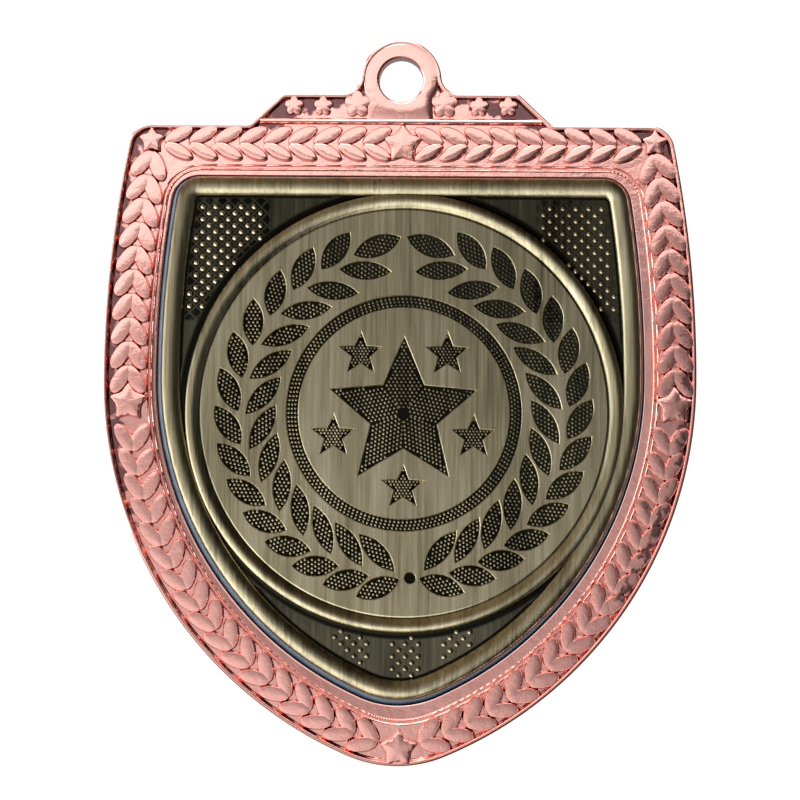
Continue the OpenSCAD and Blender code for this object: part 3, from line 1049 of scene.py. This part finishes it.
def smallStarBumps(centre, outer, inner):
    spots = []
    for row in range(-6, 7):
        for column in range(-5, 6):
            x = (column + 0.5 * (row % 2)) * bumps["across"] * 0.82
            y = row * bumps["along"] * 0.82
            if starReach(outer, inner, atan2(y, x) - pi / 2) - hypot(x, y) > bumps["margin"]:
                spots.append((centre[0] + x, centre[1] + y, plate["pocketZ"]))
    return spots


# a sunken shape's sides, as (distance outside its outline, level)
pocketSides = [(0.105, 0), (0.085, 0.015), (0.05, 0.05), (0, 0.13), (-0.05, 0.24), (-0.07, 0.3)]
pocketSides = [(out, plate["faceZ"] - drop) for out, drop in pocketSides]


def pocket(bm, points, rise=0):
    # one sunken shape: gives its loop on the medallion's face
    top, floor = sweep(bm, lambda out: grown(points, out), pocketSides)
    if rise:
        face = bm.faces.new(floor)
        for vert in bmesh.ops.poke(bm, faces=[face])["verts"]:
            vert.co.z += rise
    else:
        fillFlat(bm, floor)
    return top


def medallion(bm):
    # a rolled bead round a flat face with everything sunk into it
    radius = medal["discR"]
    face = plate["faceZ"]
    # the bead's first loops lie on the floor round it and carry a black ring at its foot, partly
    # patina, partly painted shade
    bead = [(-0.75, plateZ - 0.05), (-0.75, plateZ), (-0.3, plateZ + 0.006),
            (-0.06, plateZ + 0.012), (0, plateZ + 0.06), (0, 1.18), (0.05, 1.32), (0.17, 1.43),
            (0.36, 1.5), (0.58, 1.525), (0.8, 1.5), (1, 1.44), (1.18, 1.35), (1.32, 1.25),
            (1.42, 1.205), (1.48, 1.2), (1.54, 1.225), (1.62, face)]
    low, inner = sweep(bm, lambda inset: circle(radius - inset, 180), bead)
    fillFlat(bm, low)
    loops = [inner] + [pocket(bm, points) for points, *measures in wreathLeaves()]
    x, y, dotR = plate["dot"]
    loops.append(pocket(bm, circle(dotR, 24, (x, y))))
    ringIn, ringOut = plate["ring"]
    outerTop, outerFloor = sweep(bm, lambda out: circle(ringOut + out, 144), pocketSides)
    innerTop, innerFloor = sweep(bm, lambda out: circle(ringIn - out, 144), pocketSides)
    joinLoops(bm, outerFloor, innerFloor)
    loops.append(outerTop)
    fillFlat(bm, *loops)
    islands = [innerTop, pocket(bm, starPoints((0, 0), *plate["centreStar"]), plate["starRise"])]
    for index in range(5):
        centre = polar(plate["smallStarOut"], -90 + 72 * index)
        islands.append(pocket(bm, starPoints(centre, *plate["smallStar"])))
    fillFlat(bm, *islands)


def medallionBumps():
    spots = []
    for points, *measures in wreathLeaves():
        spots += leafBumps(*measures)
    ringIn, ringOut = plate["ring"]
    for row in range(3):
        reach = ringIn + (ringOut - ringIn) * (row + 0.5) / 3 * 0.9 + 0.05
        count = round(2 * pi * reach / bumps["across"])
        for index in range(count):
            a = 360 * (index + 0.5 * (row % 2)) / count
            spots.append((*polar(reach, a), plate["pocketZ"]))
    spots += starBumps(*plate["centreStar"], plate["starRise"])
    for index in range(5):
        centre = polar(plate["smallStarOut"], -90 + 72 * index)
        spots += smallStarBumps(centre, *plate["smallStar"])
    return spots


def halfAt(inset, y):
    shape = medal["opening"]
    radius = shape["side"] if y > medal["wideY"] else shape["lower"]
    return sqrt((radius - inset) ** 2 - (y - medal["wideY"]) ** 2) - (radius - shape["half"])


def pipPlaces():
    # dots fill the pocket's corners and three patches at its foot, clear of its walls
    spots = []
    stepX, stepY = pips["pitch"]
    discY = medal["discY"]
    inset = medal["insertGap"] + plate["rimW"] + pips["margin"]
    ceiling = medal["topY"] - medal["opening"]["drop"] - inset
    for row in range(-48, 49):
        y = discY + row * stepY
        if y < medal["wideY"] - 30:
            continue
        for column in range(-20, 21):
            x = (column + 0.5 * (row % 2)) * stepX
            free = hypot(x, y - discY) >= medal["discR"] + pips["margin"] and y <= ceiling
            if not free or abs(x) > halfAt(inset, y):
                continue
            upper = abs(x) > pips["topX"] and y > discY + pips["topLow"]
            lower = y < discY and any(low < x < high for low, high in pips["lowPanels"])
            if upper or lower:
                spots.append((x + medal["insertShift"][0], y + medal["insertShift"][1], plateZ))
    return spots


def makeInsert(material):
    bm = bmesh.new()
    insertBody(bm)

    def bodyTone(co):
        # brushed rim that darkens into a black line of painted shade at its foot, and the pocket's
        # darker floor
        if co.z > plateZ + 0.05:
            return tones["rim"] - 0.25 * ramp(co.z, plateZ + 0.25, plateZ + 0.05)
        if co.z > plateZ - 0.005:
            return tones["rimFootShade"]
        return tones["floor"] if co.z > plateZ - 0.1 else tones["side"]

    setTone(bm, "tone", bodyTone)
    disc = bmesh.new()
    medallion(disc)
    face = plate["faceZ"]

    def discTone(co):
        reach = hypot(co.x, co.y) - medal["discR"]
        if reach > 0.5:
            return tones["floor"]
        if -1.53 < reach < -1.4:
            return tones["groove"]
        # the bead goes black at its foot and on the floor round it: partly patina, partly painted
        # shade
        if reach > -1.6:
            return tones["bead"] * ramp(co.z, plateZ + 0.1, plateZ + 0.3)
        if co.z > face - 0.01:
            return tones["face"]
        # the upper parts of the pockets' walls are lighter: partly a polished edge, partly a
        # painted highlight
        if co.z > face - 0.14 and hypot(co.x, co.y) > 2.5:
            return tones["faceEdge"]
        return tones["pocket"] + 0.004 * (co.x + co.y)  # browner at the upper right

    setTone(disc, "tone", discTone)
    bump = domeMesh("bump", bumps["radius"], bumps["height"], 8, 2)
    count = len(disc.verts)
    stamp(disc, bump, [placed(x, y, z) for x, y, z in medallionBumps()])

    def bumpTone(co):
        # the bumps carry a painted highlight, brightest at the lower left, and what lies between
        # them is darkest there
        if co.z > plate["pocketZ"] + 0.04:
            return tones["bump"] - 0.008 * (co.x + co.y)
        return tones["bumpFoot"] + 0.003 * (co.x + co.y)

    setTone(disc, "tone", bumpTone, count)
    shiftX, shiftY = medal["insertShift"]
    place = (shiftX + plate["discShift"], medal["discY"] + shiftY, 0)
    bmesh.ops.translate(disc, verts=disc.verts, vec=place)
    discMesh = asMesh(disc, "disc")
    bm.from_mesh(discMesh)
    count = len(bm.verts)
    pip = domeMesh("pip", pips["radius"], pips["height"], 16, 4)
    stamp(bm, pip, [placed(x, y, z) for x, y, z in pipPlaces()])

    def pipTone(co):
        # a painted highlight brightens the pips in the top left panel; they are duller elsewhere
        if co.z < plateZ + 0.05:
            return tones["pipFoot"]
        return tones["highlightedPip" if co.x < -8 and co.y > medal["wideY"] else "pip"]

    setTone(bm, "tone", pipTone, count)
    return finishPiece("insert_plate", bm, material, "insert", 40)


framePiece = makeFrame(copperPlating())
padPiece = makePad(blueFoam())
insertPiece = makeInsert(antiqueBrass())

# floor, backdrop, camera and lights
studio = {
    "distance": 0.3,
    "viewHeight": 0.0769,  # what the picture's height covers at the medal's front
    "aim": (0.0001, 0, -0.03075),
    "side": 0.006,  # how far the camera stands to the right
    "roll": 0.45,
    "floorZ": -0.078,
}


def whiteSheet(name, location, size, turn):
    mesh = bpy.data.meshes.new(name)
    bm = bmesh.new()
    bmesh.ops.create_grid(bm, x_segments=1, y_segments=1, size=size)
    bmesh.ops.rotate(bm, verts=bm.verts, matrix=Matrix.Rotation(radians(turn), 3, "X"))
    bmesh.ops.translate(bm, verts=bm.verts, vec=location)
    bm.to_mesh(mesh)
    bm.free()
    sheet = newObject(name, mesh)
    white = {"Base Color": (0.9, 0.9, 0.9, 1), "Roughness": 0.8}
    white.update({"Emission Color": (1, 1, 1, 1), "Emission Strength": 0.9})
    mesh.materials.append(newMaterial(name, white)[0])
    sheet.visible_glossy = False
    sheet.visible_diffuse = False


whiteSheet("floor", (0, 0.2, studio["floorZ"]), 1.5, 0)
whiteSheet("backdrop", (0, 1.1, 0.6), 1.5, 90)

camera = newObject("camera", bpy.data.cameras.new("camera"))
bpy.context.scene.camera = camera
aim = Vector(studio["aim"])
eye = aim + Vector((studio["side"], -studio["distance"], 0))
camera.data.sensor_width = 36
camera.data.lens = 36 * (studio["distance"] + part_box("frame")[0].y) / studio["viewHeight"]
look = (aim - eye).to_track_quat("-Z", "Y").to_matrix().to_4x4()
look = look @ Matrix.Rotation(radians(studio["roll"]), 4, "Z")
camera.matrix_world = Matrix.Translation(eye) @ look


def softbox(name, centre, target, width, height, glow, roll, lit):
    # glow is the brightness of the card's face
    light = bpy.data.lights.new(name, "AREA")
    light.shape = "RECTANGLE"
    light.size = width
    light.size_y = height
    light.energy = glow * width * height * pi
    lamp = newObject(name, light)
    facing = (Vector(target) - Vector(centre)).to_track_quat("-Z", "Y").to_matrix().to_4x4()
    facing = facing @ Matrix.Rotation(radians(roll), 4, "Z")
    lamp.matrix_world = Matrix.Translation(centre) @ facing
    lamp.visible_camera = False
    group = bpy.data.collections.new(name + "Lit")
    for piece in lit:
        group.objects.link(piece)
    lamp.light_linking.receiver_collection = group


middle = (0, 0, -0.031)
outside = [framePiece, padPiece]
softbox("topCard", (0, -0.60, 0.29), middle, 1.2, 0.56, 1.28, 14, outside)
softbox("overheadCard", (-0.15, -0.12, 0.65), middle, 0.9, 0.7, 5, 0, outside)
softbox("leftCard", (-0.75, -0.15, 0.05), middle, 0.6, 0.8, 4.5, 0, outside)
softbox("lowCard", (-0.26, -0.42, -0.48), middle, 0.9, 0.5, 2.3, 0, [insertPiece])
softbox("lowLeftCard", (-0.62, -0.2, -0.22), middle, 0.4, 0.6, 2.6, 0, [insertPiece])

world = bpy.data.worlds.new("studioWorld")
bpy.context.scene.world = world
world.use_nodes = True
sky = Finish(world.node_tree)
path = sky.node("ShaderNodeLightPath")
direction = sky.node("ShaderNodeTexCoord")
apart = sky.node("ShaderNodeSeparateXYZ", None, {0: direction}).socket.node
rightwards, backwards, upwards = (Signal(sky, output) for output in apart.outputs)
# the surroundings that the metal mirrors: brighter to the left, at the lower left and behind
glow = 0.43 * (1.5 - rightwards.between(-0.25, 0.25)) * (1.5 - upwards.between(-0.2, 0.2))
glow = glow * (1 - 0.75 * rightwards.between(0.1, 0.18))
glow = glow * (0.3 + 0.7 * upwards.between(-0.6, -0.3))
lowLeft = (1 - upwards.between(-0.12, 0)) * (1 - rightwards.between(-0.02, 0.05))
glow = glow * (1 + 0.3 * lowLeft)
behind = backwards.between(0.2, 0.6)
glow = glow * (1 - behind) + (0.42 + 0.3 * upwards.between(-0.3, 0.6)) * behind
warmth = sky.mix(upwards.between(0.08, 0.5), (1, 1, 1), (1, 0.74, 0.46))
white = sky.node("ShaderNodeBackground", None, {"Color": (1, 1, 1, 1), "Strength": 1.05})
grey = sky.node("ShaderNodeBackground", None, {"Color": warmth, "Strength": glow})
either = sky.node("ShaderNodeMixShader", None, {0: path, 1: grey, 2: white})
sky.node("ShaderNodeOutputWorld", None, {"Surface": either})

bpy.context.scene.view_settings.view_transform = "Standard"
bpy.context.scene.view_settings.look = "None"
print("camera and lights set")
